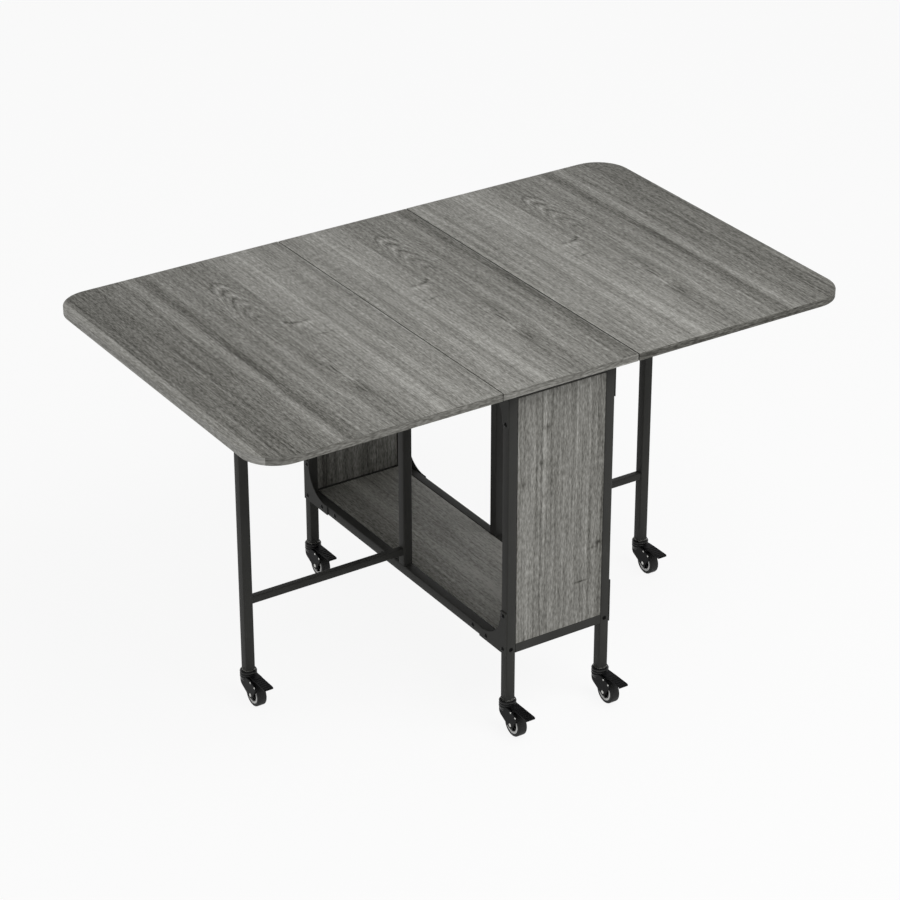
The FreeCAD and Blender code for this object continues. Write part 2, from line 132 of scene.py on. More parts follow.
class Graph:
    """One material built from fields."""

    def __init__(self, name):
        self.material = bpy.data.materials.new(name)
        self.material.use_nodes = True
        self.tree = self.material.node_tree
        self.shader = self.tree.nodes["Principled BSDF"]
        self.coordinates = self.node("ShaderNodeTexCoord")

    def node(self, kind, **settings):
        node = self.tree.nodes.new(kind)
        for name, value in settings.items():
            setattr(node, name, value)
        return node

    def feed(self, socket, value):
        if isinstance(value, Field):
            self.tree.links.new(value.socket, socket)
        else:
            socket.default_value = value

    def math(self, operation, *values):
        node = self.node("ShaderNodeMath", operation=operation)
        for socket, value in zip(node.inputs, values):
            self.feed(socket, value)
        return Field(self, node.outputs["Value"])

    def axes(self, output="Object"):
        split = self.node("ShaderNodeSeparateXYZ")
        self.tree.links.new(self.coordinates.outputs[output], split.inputs[0])
        return [Field(self, socket) for socket in split.outputs]

    def noise(self, x, y, z, detail=2.0, roughness=0.5):
        joined = self.node("ShaderNodeCombineXYZ")
        for socket, value in zip(joined.inputs, (x, y, z)):
            self.feed(socket, value)
        node = self.node("ShaderNodeTexNoise")
        self.tree.links.new(joined.outputs[0], node.inputs["Vector"])
        node.inputs["Scale"].default_value = 1
        node.inputs["Detail"].default_value = detail
        node.inputs["Roughness"].default_value = roughness
        return Field(self, node.outputs["Fac"])

    def texture(self, scales, detail=2.0, roughness=0.5):
        """Noise fixed to the object, its scales in waves per metre along each axis."""
        x, y, z = (axis * scale for axis, scale in zip(self.axes(), scales))
        return self.noise(x, y, z, detail, roughness)

    def waver(self, u, v, u_scale, v_scale, noise_slice, reach, detail=3.0, roughness=0.5):
        """Noise about zero, up to about half the reach either way."""
        noise = self.noise(u * u_scale, v * v_scale, noise_slice, detail, roughness)
        return (noise - 0.5) * reach

    def ramp(self, value, stops):
        node = self.node("ShaderNodeValToRGB")
        elements = node.color_ramp.elements
        while len(elements) < len(stops):
            elements.new(1)
        for element, (place, colour) in zip(elements, stops):
            element.position = place
            element.color = colour
        self.feed(node.inputs["Fac"], value)
        return Field(self, node.outputs["Color"])

    def colour(self, value, stops):
        self.feed(self.shader.inputs["Base Color"], self.ramp(value, stops))

    def relief(self, height, distance, strength):
        node = self.node("ShaderNodeBump")
        node.inputs["Strength"].default_value = strength
        node.inputs["Distance"].default_value = distance
        self.feed(node.inputs["Height"], height)
        self.tree.links.new(node.outputs["Normal"], self.shader.inputs["Normal"])

    def gloss(self, roughness, specular=0.5, metallic=0.0):
        self.feed(self.shader.inputs["Roughness"], roughness)
        self.shader.inputs["Specular IOR Level"].default_value = specular
        self.shader.inputs["Metallic"].default_value = metallic


# Oak decor: u runs across the grain and v along it, in metres; tone 0 is dark and 1 light

DECOR_TONES = [
    (0.0, linear(64, 63, 59)),
    (0.25, linear(98, 97, 92)),
    (0.5, linear(127, 126, 121)),
    (0.75, linear(153, 152, 147)),
    (1.0, linear(182, 181, 176)),
]
# Broad stripes, as (u, tone); two stops close together are a sharp border
BANDS = [
    (-0.30, 0.52), (-0.216, 0.52), (-0.210, 0.40), (-0.203, 0.57), (-0.13, 0.55), (-0.103, 0.63),
    (-0.085, 0.56), (-0.076, 0.57), (-0.073, 0.67), (-0.03, 0.545), (0.045, 0.42), (0.048, 0.36),
    (0.051, 0.52), (0.064, 0.53), (0.082, 0.43), (0.10, 0.47), (0.145, 0.28), (0.148, 0.49),
    (0.165, 0.53), (0.19, 0.385), (0.22, 0.33), (0.30, 0.32),
]
# Plain strip along one edge of the sheet: border, tone, and the share of the stripes it loses
STRIP_BORDER = (0.303, 0.306)
STRIP_TONE = 0.60
STRIP_CALM = 0.7
# Grain layers: waves per metre across and along, noise slice, depth, detail, roughness
STRIPES = (26, 0.8, 6.2, 0.45, 6, 0.66)
GRAIN_LAYERS = (
    (210, 2.4, 2.6, 0.75, 3, 0.6),
    (170, 14, 1.7, 0.54, 3, 0.6),
    (400, 84, 4.1, 1.15, 2, 0.6),
)
# Ripples: waves per metre across and along, noise slice, reach in millimetres
GRAIN_RIPPLE = (6, 1, 0.3, 5)
FLAME_RIPPLE = (40, 14, 5.5, 36)
KNOT_RIPPLES = ((40, 40, 7.1, 16), (70, 70, 3.3, 16))
CRACK_RIPPLE = (45, 30, 6.7, 22)
PANEL_RIPPLE = (16, 0, 2.2, 16)
# Cathedral figure: tip in metres, spacing and bend of its lines, centre and width across,
# where it sets in and where it fades in millimetres, share of a wave left plain, and depth
FLAME_TIP = (0.028, 0.326)
FLAME_PERIOD = 44
FLAME_BEND = 0.09
FLAME_SPREAD = (2, 30)
FLAME_START = (-10, 10)
FLAME_FADE = (120, 250)
FLAME_PLAIN = 0.4
FLAME_DEPTH = 0.20
# Places of the knot and the crack in metres, and soft marks: centre and width across,
# centre and width along, in millimetres, and depth
KNOT = (-0.007, 0.077)
KNOT_MARKS = (
    ((6, 5), (8, 5), -0.38),
    ((-5, 7), (1, 3.5), -0.42),
    ((-24, 13), (-2, 2.8), -0.26),
    ((-26, 26), (-15, 8), 0.18),
)
CRACK = (-0.040, 0.010)
CRACK_MARK = ((0, 16), (0, 2.6), -0.40)
SWIRL = ((140, 6), (10, 90), -0.15)
GOUGE_PATCH = ((24, 12), (-145, 110), 1.0)
# Pores of the gouged patch: waves per metre across and along, noise slice
GOUGE_PORES = (150, 14, 9.4)
# Where their noise turns dark and light, and the depth of each
GOUGE_DARK = ((0.52, 0.64), -0.50)
GOUGE_LIGHT = ((0.46, 0.36), 0.30)
# Small knots of the front panel, as soft marks, on a grain layer of its own
PANEL_GRAIN = (70, 1.2, 4.7, 0.34)
PANEL_MARKS = (
    ((-33, 6), (630, 5), -0.32),
    ((-44, 6), (559, 6), -0.28),
    ((-85, 6), (524, 6), -0.34),
    ((-31, 4), (387, 4), -0.26),
    ((88, 7), (352, 4), -0.46),
    ((76, 9), (344, 3), -0.30),
    ((52, 13), (278, 2), -0.44),
)
# Stripes down the front panel: centre and width across, in millimetres, and depth
PANEL_STRIPES = (
    ((-57, 5), -0.08),
    ((-45, 2.6), -0.20),
    ((-40, 3), 0.08),
    ((34, 5), 0.07),
    ((95, 30), -0.14),
)
# Shelf, painted shade and light: its darker strip beside the left rail, and where it starts to
# lighten towards the front
SHELF_STRIP = 60 * MM
SHELF_BORDER = 5 * MM
SHELF_STRIP_PAINTED_SHADE = 0.12
SHELF_FRONT_START = 100 * MM
SHELF_FRONT_PAINTED_LIGHT = 0.22
# Where an edge band takes its decor from, by the axis that its board is flat to
EDGE_SHIFT = {Y_AXIS: 0.16, Z_AXIS: -0.55}
# How squarely a face has to look along an axis to count as sheet, or as the first edge pair
SHEET_FACING = 0.6
EDGE_FACING = 0.7
OAK_ROUGHNESS = 0.60
OAK_SHEEN = 0.16
OAK_SPECULAR = 0.09
OAK_RELIEF = 0.35 * MM


def spot(u, v, across, along, depth):
    return u.hill(*across) * v.hill(*along) * depth


def decor_bands(graph, across):
    """Broad stripes along the sheet."""
    first, last = BANDS[0][0], BANDS[-1][0]
    span = last - first
    stops = [((place - first) / span, (tone, tone, tone, 1)) for place, tone in BANDS]
    return graph.ramp((across - first) * (1 / span), stops)


def decor_flame(graph, u, v, across):
    """Nested arches of thin dark lines, fading along the grain."""
    along = (v - FLAME_TIP[1]) * (-1 / MM)
    aside = (across - FLAME_TIP[0]) * (1 / MM)
    arch = along - aside * aside * FLAME_BEND + graph.waver(u, v, *FLAME_RIPPLE)
    wave = (arch * (2 * math.pi / FLAME_PERIOD)).sine()
    dark = wave.step(FLAME_PLAIN, 1)
    light = wave.step(-FLAME_PLAIN, -1)
    lines = dark * -FLAME_DEPTH + light * FLAME_DEPTH
    inside = aside.hill(*FLAME_SPREAD) * arch.step(*FLAME_START)
    return lines * inside * (-along.step(*FLAME_FADE) + 1)


def decor_knot(graph, u, v):
    """Knot with a light halo, and a crack beside it."""
    knot_u = (u - KNOT[0]) * (1 / MM) + graph.waver(u, v, *KNOT_RIPPLES[0])
    knot_v = (v - KNOT[1]) * (1 / MM) + graph.waver(u, v, *KNOT_RIPPLES[1])
    crack_u = (u - CRACK[0]) * (1 / MM)
    crack_v = (v - CRACK[1]) * (1 / MM) + graph.waver(u, v, *CRACK_RIPPLE)
    tone = spot(crack_u, crack_v, *CRACK_MARK)
    for mark in KNOT_MARKS:
        tone = tone + spot(knot_u, knot_v, *mark)
    return tone


def decor_gouge(graph, across, v):
    """Patch of short open pores."""
    across_scale, along_scale, noise_slice = GOUGE_PORES
    pores = graph.noise(across * across_scale, v * along_scale, noise_slice, detail=3)
    dark, light = (pores.step(*levels) * depth for levels, depth in (GOUGE_DARK, GOUGE_LIGHT))
    return (dark + light) * spot(across * (1 / MM), v * (1 / MM), *GOUGE_PATCH)


def decor_tone(graph, u, v):
    """Tone of the printed oak sheet."""
    across = u + graph.waver(u, v, *GRAIN_RIPPLE) * MM
    strip = u.step(*STRIP_BORDER)
    tone = strip.mix(decor_bands(graph, across), STRIP_TONE)
    tone = tone + graph.waver(across, v, *STRIPES) * (strip * -STRIP_CALM + 1)
    for layer in GRAIN_LAYERS:
        tone = tone + graph.waver(across, v, *layer)
    tone = tone + decor_flame(graph, u, v, across)
    tone = tone + decor_knot(graph, u, v)
    tone = tone + spot(across * (1 / MM), v * (1 / MM), *SWIRL)
    return tone + decor_gouge(graph, across, v)


def panel_marks(here):
    """Stripes and small knots of the front panel."""
    graph = here[0].graph
    x = here[0] * (1 / MM) + graph.waver(here[2], here[0], *PANEL_RIPPLE)
    z = here[2] * (1 / MM)
    tone = graph.waver(here[0], here[2], *PANEL_GRAIN)
    for across, depth in PANEL_STRIPES:
        tone = tone + x.hill(*across) * depth
    for mark in PANEL_MARKS:
        tone = tone + spot(x, z, *mark)
    return tone


def shelf_painted_light(here):
    """Painted shade as a darker strip beside the left rail, and painted light that lightens the
    sheet towards the front.
    """
    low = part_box("shelf")[0]
    border = low.x + SHELF_STRIP
    lit_past_strip = here[0].step(border - SHELF_BORDER, border + SHELF_BORDER)
    front = here[1].step(SHELF_FRONT_START, low.y)
    return lit_past_strip * SHELF_STRIP_PAINTED_SHADE + front * SHELF_FRONT_PAINTED_LIGHT


def oak(name, flat_axis, place_flat, lift=0.0, edge_band_and_light_lifts=(0.05, 0.05), marks=None):
    """Oak decor with its sheet on the faces square to one axis and edging on the others."""
    graph = Graph(name)
    here = graph.axes()
    facing = [axis.size() for axis in graph.axes("Normal")]
    on_sheet = facing[flat_axis].over(SHEET_FACING)
    sheet_u, sheet_v = place_flat(*here)
    first, second = (axis for axis in range(3) if axis != flat_axis)
    faces_first = facing[first].over(EDGE_FACING)
    along = faces_first.mix(here[first], here[second])
    # Edge band tone, lighter or darker by its pair of edges as painted light falling from the
    # left
    edge_band_and_light = faces_first * (edge_band_and_light_lifts[0] - edge_band_and_light_lifts[1]) + edge_band_and_light_lifts[1]
    u = on_sheet.mix(here[flat_axis] + EDGE_SHIFT[flat_axis], sheet_u)
    v = on_sheet.mix(along, sheet_v)
    # The lift is painted light on the shelf and painted shade on the back panel, plain tone on
    # the other boards
    tone = decor_tone(graph, u, v) + lift
    if marks:
        tone = tone + marks(here)
    graph.colour(tone + edge_band_and_light * (-on_sheet + 1), DECOR_TONES)
    graph.gloss(tone * -OAK_SHEEN + OAK_ROUGHNESS, OAK_SPECULAR)
    graph.relief(tone, OAK_RELIEF, strength=0.5)
    return graph.material


# Each board: the axis it is flat to, where on the sheet it is cut from as (u, v) of a point,
# and how much lighter its faces and its two pairs of edges are than the sheet. The edges are
# edge band tone, with the split between their two pairs painted light falling from the left;
# the shelf's lighter faces are painted light and the back panel's darker ones painted shade
TOP_LIFT = -0.02
board_oaks = {
    "centre_top": oak(
        "oak_centre", Z_AXIS, lambda x, y, z: (x, y),
        lift=TOP_LIFT, edge_band_and_light_lifts=(0.05, 0.15),
    ),
    "right_leaf": oak(
        "oak_right_leaf", Z_AXIS, lambda x, y, z: (x - 0.358, y - 0.008),
        lift=TOP_LIFT, edge_band_and_light_lifts=(-0.24, -0.17),
    ),
    "left_leaf": oak(
        "oak_left_leaf", Z_AXIS, lambda x, y, z: (-(x + 0.327), y + 0.018),
        lift=TOP_LIFT, edge_band_and_light_lifts=(0.49, 0.0),
    ),
    # Shelf: lighter all over as painted light under the table, with a painted shade strip and
    # painted light towards the front
    "shelf": oak(
        "oak_shelf", Z_AXIS, lambda x, y, z: (-x + 0.045, -y - 0.4),
        lift=0.16, marks=shelf_painted_light,
    ),
    "front_panel": oak(
        "oak_front_panel", Y_AXIS, lambda x, y, z: (x - 0.24, z - 0.9),
        lift=0.01, marks=panel_marks,
    ),
    # Back panel: darker all over as painted shade, for the shade on its inner face under the
    # table
    "back_panel": oak(
        "oak_back_panel", Y_AXIS, lambda x, y, z: (-x + 0.06, z - 0.31),
        lift=-0.08,
    ),
}


# Metals and plastics, with their textures in waves per metre along X, Y and Z

PEEL = (900, 900, 900)
CLOUDS = (22, 22, 9)
SCUFFS = (160, 160, 26)
MOTTLE = (70, 70, 70)
BLOOM = (260, 260, 260)
DRAW_LINES = (1200, 60, 1200)
PEEL_DEPTH = 0.06 * MM
PIT_DEPTH = 0.05 * MM
DRAW_DEPTH = 0.03 * MM
BROAD_WEAR = 0.2
FINE_WEAR = 0.1


def worn(roughness, broad, fine):
    """Roughness that varies about its mean with a broad and a fine texture."""
    return (broad - 0.5) * BROAD_WEAR + (fine - 0.5) * FINE_WEAR + roughness


def powder_coat(name):
    """Satin black powder coat with a fine orange peel and faint handling marks."""
    graph = Graph(name)
    peel = graph.texture(PEEL)
    cloud = graph.texture(CLOUDS, detail=4, roughness=0.6)
    scuff = graph.texture(SCUFFS, detail=3).step(0.62, 0.8)
    graph.colour(cloud * 0.6 + peel * 0.25 + scuff * 0.22, [
        (0.15, linear(50, 50, 48)),
        (0.5, linear(58, 58, 56)),
        (0.9, linear(70, 70, 68)),
    ])
    graph.gloss(cloud * 0.18 + scuff * 0.08 + 0.36, specular=0.08)
    graph.relief(peel, PEEL_DEPTH, strength=0.6)
    return graph.material


def moulded(name, dark, light, roughness, specular, grain):
    """Moulded plastic or rubber: close grain, slight mottling, worn sheen."""
    graph = Graph(name)
    pits = graph.texture((grain, grain, grain))
    mottle = graph.texture(MOTTLE, detail=4, roughness=0.6)
    graph.colour(mottle * 0.7 + pits * 0.3, [(0.3, linear(*dark)), (0.7, linear(*light))])
    graph.gloss(worn(roughness, mottle, pits), specular)
    graph.relief(pits, PIT_DEPTH, strength=0.5)
    return graph.material


def plated(name, dark, light, roughness):
    """Plated steel with a faint crystal bloom and draw lines."""
    graph = Graph(name)
    bloom = graph.texture(BLOOM, detail=3)
    draw = graph.texture(DRAW_LINES)
    graph.colour(bloom * 0.6 + draw * 0.4, [(0.3, linear(*dark)), (0.7, linear(*light))])
    graph.gloss(worn(roughness, bloom, draw), metallic=1)
    graph.relief(draw, DRAW_DEPTH, strength=0.4)
    return graph.material


black_steel = powder_coat("black_powder_coat")
black_nylon = moulded("black_nylon", (12, 12, 13), (24, 24, 25), 0.36, 0.05, 700)
tyre_rubber = moulded("tyre_rubber", (40, 40, 40), (54, 54, 54), 0.55, 0.12, 900)
rim_plastic = moulded("rim_plastic", (212, 212, 210), (232, 232, 230), 0.42, 0.35, 800)
glide_plastic = moulded("glide_plastic", (30, 30, 30), (42, 42, 42), 0.55, 0.3, 800)
zinc = plated("zinc", (176, 176, 172), (206, 206, 202), 0.36)
dull_zinc = plated("dull_zinc", (88, 88, 86), (116, 116, 113), 0.42)
black_screw = plated("blackened_screw", (12, 12, 12), (26, 26, 26), 0.34)


# Outlines

def arc(centre, radius, first, last, steps):
    """Points on an arc between two angles in degrees."""
    points = []
    for step in range(steps + 1):
        angle = math.radians(first + (last - first) * step / steps)
        points.append((
            centre[0] + radius * math.cos(angle),
            centre[1] + radius * math.sin(angle),
        ))
    return points


def circle(radius, segments):
    return arc((0, 0), radius, 0, 360 - 360 / segments, segments - 1)


def hexagon(radius, segments):
    """Points on a hexagon, one at each angle of a circle with as many segments."""
    points = []
    for x, y in circle(radius, segments):
        sector = (math.atan2(y, x) + math.pi / 6) % (math.pi / 3) - math.pi / 6
        share = math.cos(math.pi / 6) / math.cos(sector)
        points.append((x * share, y * share))
    return points


def rounded(corners, steps=4):
    """Closed outline of (u, v, radius) corners, each turned by an arc of its radius."""
    outline = []
    for index, (u, v, radius) in enumerate(corners):
        corner = Vector((u, v))
        if not radius:
            outline.append(corner)
            continue
        back = (Vector(corners[index - 1][:2]) - corner).normalized()
        ahead = (Vector(corners[(index + 1) % len(corners)][:2]) - corner).normalized()
        half = back.angle(ahead) / 2
        centre = corner + (back + ahead).normalized() * (radius / math.sin(half))
        start = corner + back * (radius / math.tan(half)) - centre
        sweep = math.copysign(math.pi - 2 * half, -back.cross(ahead))
        for step in range(steps + 1):
            outline.append(centre + Matrix.Rotation(sweep * step / steps, 2) @ start)
    return outline


def turns_inward(a, b, c):
    return (b[0] - a[0]) * (c[1] - a[1]) <= (b[1] - a[1]) * (c[0] - a[0])


def belt(circles, steps=48):
    """Outline of a belt drawn tight round several (u, v, radius) circles."""
    points = sorted(
        point for u, v, radius in circles for point in arc((u, v), radius, 0, 360, steps)
    )
    outline = []
    for run in (points, points[::-1]):
        side = []
        for point in run:
            while len(side) > 1 and turns_inward(side[-2], side[-1], point):
                side.pop()
            side.append(point)
        outline += side[:-1]
    return outline


def dome(radius, height, steps=6):
    """Profile of a domed head, from its rim up to its middle."""
    angles = [math.pi / 2 * step / steps for step in range(steps + 1)]
    return [(radius * math.cos(angle), height * math.sin(angle)) for angle in angles]


# Meshes

VERTEX_WELD = 1e-7
NODE_WELD = 1e-6
SHARP_ANGLE = math.radians(35)
SOFT_ANGLE = math.radians(40)
EDGE_STEPS = 2


def add_ring(bm, points, height, matrix=Matrix.Identity(4)):
    return [bm.verts.new(matrix @ Vector((x, y, height))) for x, y in points]


def bridge(bm, rings, closed=False):
    """Skin between successive rings of vertices."""
    pairs = list(zip(rings, rings[1:]))
    if closed:
        pairs.append((rings[-1], rings[0]))
    for low, high in pairs:
        count = len(low)
        for index in range(count):
            following = (index + 1) % count
            bm.faces.new((low[index], low[following], high[following], high[index]))


def lathe(bm, profile, segments, matrix=Matrix.Identity(4), closed=False):
    """Turn (radius, height) points about Z."""
    rings = [add_ring(bm, circle(radius, segments), height, matrix) for radius, height in profile]
    bridge(bm, rings, closed)


def prism(bm, outline, span, matrix=Matrix.Identity(4)):
    """Extrude a flat outline of (x, y) points between two heights."""
    low, high = (add_ring(bm, outline, height, matrix) for height in sorted(span))
    bm.faces.new(low[::-1])
    bm.faces.new(high)
    bridge(bm, [low, high])


def block(bm, x_span, y_span, z_span):
    outline = list(zip(sorted(x_span * 2), y_span + y_span[::-1]))
    prism(bm, outline, z_span)


def to_mesh(name, bm, material):
    """Mesh of a finished bmesh, smooth except at its sharp edges."""
    bmesh.ops.remove_doubles(bm, verts=bm.verts, dist=VERTEX_WELD)
    bmesh.ops.recalc_face_normals(bm, faces=bm.faces)
    mesh = bpy.data.meshes.new(name)
    bm.to_mesh(mesh)
    bm.free()
    mesh.materials.append(material)
    mesh.shade_smooth()
    mesh.set_sharp_from_angle(angle=SHARP_ANGLE)
    return mesh


def add_piece(name, mesh, body, matrix=Matrix.Identity(4)):
    piece = bpy.data.objects.new(name, mesh)
    scene.collection.objects.link(piece)
    piece.matrix_world = matrix
    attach(piece, body)
    return piece


def soften(piece, width, steps=EDGE_STEPS):
    bevel = piece.modifiers.new("soft_edges", "BEVEL")
    bevel.width = width
    bevel.segments = steps
    bevel.limit_method = "ANGLE"
    bevel.angle_limit = SOFT_ANGLE
    normals = piece.modifiers.new("even_normals", "WEIGHTED_NORMAL")
    normals.keep_sharp = True


def middle_of(node):
    low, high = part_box(node)
    return (low + high) / 2


# Boards, gussets, glides, stems and pivot pins keep their solids, with softened edges

BOARD_EDGE = 0.8 * MM
PLATE_EDGE = 0.5 * MM
PIN_EDGE = 0.3 * MM
GLIDE_STEPS = 3


def dress(node, material, width, steps=EDGE_STEPS):
    solid = nodes[node]
    solid.data.materials.clear()
    solid.data.materials.append(material)
    weld = solid.modifiers.new("weld", "WELD")
    weld.merge_threshold = NODE_WELD
    soften(solid, width, steps)


for node, material in board_oaks.items():
    dress(node, material, BOARD_EDGE)
for node in ("lower_gussets", "upper_gussets"):
    dress(node, black_steel, PLATE_EDGE)
for side_name in SIDES:
    dress(f"{side_name}_gate_glide", glide_plastic, BOARD_EDGE, GLIDE_STEPS)
    dress(f"{side_name}_gate_pivot_pins", zinc, PIN_EDGE)
    dress(f"{side_name}_gate_caster_stem", zinc, PIN_EDGE)
dress("frame_caster_stems", zinc, PIN_EDGE)


# Tubes, drawn with rounded corners over the square ones of the solids

TUBE_RADIUS = 2.2 * MM
TUBE_WALL = 1.5 * MM
TUBE_STEPS = 5
QUARTERS = ((1, 1), (-1, 1), (-1, -1), (1, -1))
ALONG = (
    Matrix.Rotation(math.pi / 2, 4, "Y"),
    Matrix.Rotation(math.pi / 2, 4, "X"),
    Matrix.Identity(4),
)


def rounded_square(half, radius):
    return rounded([(half * u, half * v, radius) for u, v in QUARTERS], TUBE_STEPS)


def draw_tube(node, body):
    low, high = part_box(node)
    extent = high - low
    axis = max(range(3), key=lambda index: extent[index])
    reach = extent[axis] / 2
    half = min(extent) / 2
    matrix = Matrix.Translation((low + high) / 2) @ ALONG[axis]
    outer = rounded_square(half, TUBE_RADIUS)
    inner = rounded_square(half - TUBE_WALL, TUBE_RADIUS - TUBE_WALL)
    bm = bmesh.new()
    rings = [
        add_ring(bm, outline, end, matrix)
        for outline, end in ((outer, -reach), (outer, reach), (inner, reach), (inner, -reach))
    ]
    bridge(bm, rings, closed=True)
    piece = add_piece(f"{node}_drawn", to_mesh(node, bm, black_steel), body)
    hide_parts(node)


for end_name in ENDS:
    for rail in ("bottom_rail", "top_rail"):
        draw_tube(f"{end_name}_{rail}", "frame")
    for side_name in SIDES:
        draw_tube(f"{end_name}_{side_name}_post", "frame")
for side_name in SIDES:
    for rail in ("bottom_rail", "top_rail"):
        draw_tube(f"{side_name}_{rail}", "frame")
    for tube in ("pivot_post", "leg", "lower_bar", "upper_bar"):
        draw_tube(f"{side_name}_gate_{tube}", f"{side_name}_gate")


# Screws of the frame

SCREW_RADIUS = 4.6 * MM
SCREW_HEIGHT = 1.8 * MM
SCREW_SEGMENTS = 24
SCREW_STEPS = 8
# Socket: its radius, where the dome ends round it, and how much of the height its floor keeps
SOCKET_RADIUS = 2.0 * MM
SOCKET_BRIM = 2.2 * MM
SOCKET_FLOOR = 0.3


def screw_mesh():
    """Domed head with a hexagon socket."""
    head = dome(SCREW_RADIUS, SCREW_HEIGHT, SCREW_STEPS)
    brim = [(radius, height) for radius, height in head if radius > SOCKET_BRIM]
    socket = hexagon(SOCKET_RADIUS, SCREW_SEGMENTS)
    socket_top = brim[-1][1]
    bm = bmesh.new()
    rings = [add_ring(bm, circle(radius, SCREW_SEGMENTS), height) for radius, height in brim]
    rings += [add_ring(bm, socket, socket_top * share) for share in (1, SOCKET_FLOOR)]
    bridge(bm, rings)
    bm.faces.new(rings[-1])
    return to_mesh("frame_screw", bm, black_screw)


def set_screw(name, mesh, point, direction):
    turn = Vector((0, 0, 1)).rotation_difference(Vector(direction)).to_matrix().to_4x4()
    matrix = Matrix.Translation(Vector(point)) @ turn
    add_piece(f"{name}_screw", mesh.copy(), "frame", matrix)


end_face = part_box("back_right_post")[1].y
post_x = middle_of("back_right_post").x
rail_z = middle_of("right_bottom_rail").z
top_rail_z = middle_of("right_top_rail").z
rail_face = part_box("right_bottom_rail")[1].x
plate_face, lower_plate_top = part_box("lower_gussets")[1].xz
upper_plate_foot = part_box("upper_gussets")[0].z
# How far in from the back end the middle screw of each side rail sits
MIDDLE_SCREW = 300 * MM
# Each screw's face, distance in from the end of the frame, and height
SIDE_SCREWS = {
    "lower_corner": (plate_face, 12 * MM, rail_z),
    "lower_post": (plate_face, 11 * MM, lower_plate_top - 9 * MM),
    "lower_rail": (plate_face, 69 * MM, rail_z),
    "rail": (rail_face, 117 * MM, rail_z),
    "upper_post": (plate_face, 9 * MM, upper_plate_foot + 4 * MM),
    "upper_rail": (plate_face, 67 * MM, top_rail_z),
}
screw = screw_mesh()
for side_name, side in SIDES.items():
    for end_name, end in ENDS.items():
        corner = f"{end_name}_{side_name}"
        for place, (face, inset, height) in SIDE_SCREWS.items():
            point = (face * side, (end_face - inset) * end, height)
            set_screw(f"{corner}_{place}", screw, point, (side, 0, 0))
        set_screw(f"{corner}_end", screw, (post_x * side, end_face * end, rail_z), (0, end, 0))
    point = (rail_face * side, end_face - MIDDLE_SCREW, rail_z)
    set_screw(f"{side_name}_middle_rail", screw, point, (side, 0, 0))


# Leaf hinges with round barrels, their pins and low screw heads

ROD_SEGMENTS = 32
HINGE_LENGTH = 60 * MM
HINGE_PLATE = 2 * MM
BARREL_RADIUS = 4.25 * MM
BARREL_BORE = 2.1 * MM
BARREL_CHAMFER = 0.4 * MM
BARREL_GAP = 0.3 * MM
BARREL_CLEAR = 4.9 * MM
HINGE_PIN = 2 * MM
HINGE_HEAD = 3.6 * MM
HEAD_HEIGHT = 0.5 * MM
HEAD_SEGMENTS = 20
HEAD_SPOTS = ((-5 * MM, -20 * MM), (5 * MM, 0), (-5 * MM, 20 * MM))


def chamfered_rod(bm, axis, span, radius, bore=0.0):
    """Rod along Y with chamfered ends, hollow where it has a bore."""
    lie = Matrix.Translation((axis.x, span[0], axis.z)) @ Matrix.Rotation(-math.pi / 2, 4, "X")
    length = span[1] - span[0]
    narrow = radius - BARREL_CHAMFER
    lathe(bm, [
        (bore, 0), (narrow, 0), (radius, BARREL_CHAMFER),
        (radius, length - BARREL_CHAMFER), (narrow, length), (bore, length),
    ], ROD_SEGMENTS, lie, closed=bore > 0)


def hinge(node, axis, on_leaf, body):
    """Plates, tongues and barrels of one half of a leaf's two hinges."""
    low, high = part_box(node)
    outward = math.copysign(1, axis.x) * (1 if on_leaf else -1)
    near_x = axis.x + BARREL_CLEAR * outward
    far_x = high.x if outward > 0 else low.x
    z_span = (high.z - HINGE_PLATE, high.z)
    bm = bmesh.new()
    heads = bmesh.new()
    for start in (low.y, high.y - HINGE_LENGTH):
        end = start + HINGE_LENGTH
        middle_y = (start + end) / 2
        near_half = (start, middle_y - BARREL_GAP / 2)
        far_half = (middle_y + BARREL_GAP / 2, end)
        barrel_span = far_half if on_leaf else near_half
        block(bm, (near_x, far_x), (start, end), z_span)
        block(bm, (axis.x, near_x), barrel_span, z_span)
        chamfered_rod(bm, axis, barrel_span, BARREL_RADIUS, BARREL_BORE)
        if not on_leaf:
            chamfered_rod(bm, axis, (start, end), HINGE_PIN)
        for shift_x, shift_y in HEAD_SPOTS:
            point = ((near_x + far_x) / 2 + shift_x, middle_y + shift_y, z_span[0])
            down = Matrix.Translation(point) @ Matrix.Rotation(math.pi, 4, "X")
            lathe(heads, dome(HINGE_HEAD, HEAD_HEIGHT), HEAD_SEGMENTS, down)
    piece = add_piece(f"{node}_round", to_mesh(node, bm, zinc), body)
    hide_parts(node)
    add_piece(f"{node}_screws", to_mesh(f"{node}_screws", heads, zinc), body)


for side_name in SIDES:
    axis = joints[f"{side_name}_leaf_hinge"]
    hinge(f"{side_name}_hinge_centre_plates", axis, False, "frame")
    hinge(f"{side_name}_hinge_leaf_plates", axis, True, f"{side_name}_leaf")


# Casters, drawn round the stem axis with the wheel trailing towards -Y

CASTER = "front_left_caster"
swivel_point = joints[f"{CASTER}_swivel"]
axle_point = joints[f"{CASTER}_roll"]
pedal_pin_point = joints[f"{CASTER}_brake"]
wheel_low, wheel_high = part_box(f"{CASTER}_wheel")
fork_low, fork_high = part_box(f"{CASTER}_fork")
pedal_low, pedal_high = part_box(f"{CASTER}_brake_pedal")

